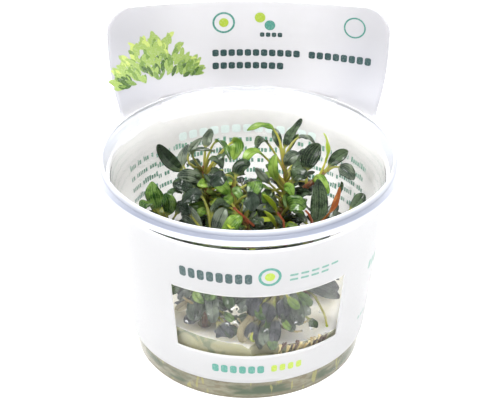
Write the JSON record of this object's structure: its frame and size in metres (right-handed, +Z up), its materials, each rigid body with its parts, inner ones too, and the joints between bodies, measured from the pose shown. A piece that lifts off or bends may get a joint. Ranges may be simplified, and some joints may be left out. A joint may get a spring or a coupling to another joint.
{
  "type": "bucephalandra tissue culture cup",
  "caption": "Clear tapered plastic cup wrapped in a white printed film with a tall back tag, holding small dark-leaved bucephalandra plants that stand in nutrient gel.",
  "frame": {"origin": "middle of the cup's foot, on the surface that the cup stands on", "axes": "+Z up along the cup's axis, -Y towards the window of the film, +X to the right of someone who looks at the window"},
  "size_m": [0.102, 0.1025, 0.1032],
  "materials": {
    "clear_plastic": "clear moulded polypropylene, glossy, faint blue-grey tint",
    "film": "white printed plastic film, satin",
    "gel": "translucent nutrient gel, pale yellowish, wet gloss",
    "leaf_dark": "blackish-green leaf, glossy",
    "leaf_green": "mid green leaf, glossy",
    "leaf_grey": "grey-green leaf with a satin sheen",
    "leaf_light": "light green young leaf, satin",
    "leaf_lime": "yellow-green new leaf, satin",
    "rhizome": "living stem and small leaves, olive brown to dark green"
  },
  "bodies": {
    "root": {"cup": "clear_plastic", "printed_film": "film", "gel": "gel", "rhizome_left": "rhizome", "rhizome_right": "rhizome", "rhizome_middle": "rhizome", "rhizome_outer": "rhizome", "rhizome_front": "rhizome", "rhizome_far": "rhizome", "rhizome_pane_left": "rhizome", "rhizome_pane_right": "rhizome", "rhizome_back": "rhizome", "rhizome_right_branch": "rhizome", "left_long": "leaf_dark", "left_slate": "leaf_grey", "left_crown": "leaf_grey", "left_arch": "leaf_grey", "left_hook": "leaf_green", "left_heart": "leaf_light", "left_ribbed": "leaf_dark", "left_round": "leaf_dark", "left_wide": "leaf_grey", "left_low": "leaf_dark", "left_twist": "leaf_light", "left_under": "leaf_dark", "right_tall": "leaf_dark", "right_sickle": "leaf_light", "right_curl": "leaf_dark", "right_bow": "leaf_grey", "right_broad": "leaf_dark", "right_pale": "leaf_grey", "right_glossy": "leaf_dark", "right_nod": "leaf_light", "right_blade": "leaf_light", "right_tongue": "leaf_light", "right_apron": "leaf_green", "side_lime": "leaf_lime", "side_dark": "leaf_dark", "side_round": "leaf_grey", "side_droop": "leaf_light", "middle_fold": "leaf_dark", "middle_shoulder": "leaf_green", "middle_green": "leaf_green", "middle_cape": "leaf_dark", "middle_pale": "leaf_light", "outer_oval": "leaf_green", "outer_curl": "leaf_green", "outer_green": "leaf_green", "front_slate": "leaf_grey", "front_arch": "leaf_dark", "front_oval": "leaf_grey", "front_light": "leaf_light", "tall_dark": "leaf_dark", "far_right": "leaf_dark", "pane_round": "leaf_dark", "pane_hanging": "leaf_grey", "pane_low": "leaf_green", "pane_deep": "leaf_dark", "pane_right": "leaf_dark", "pane_lean": "leaf_dark"}
  },
  "joints": []
}
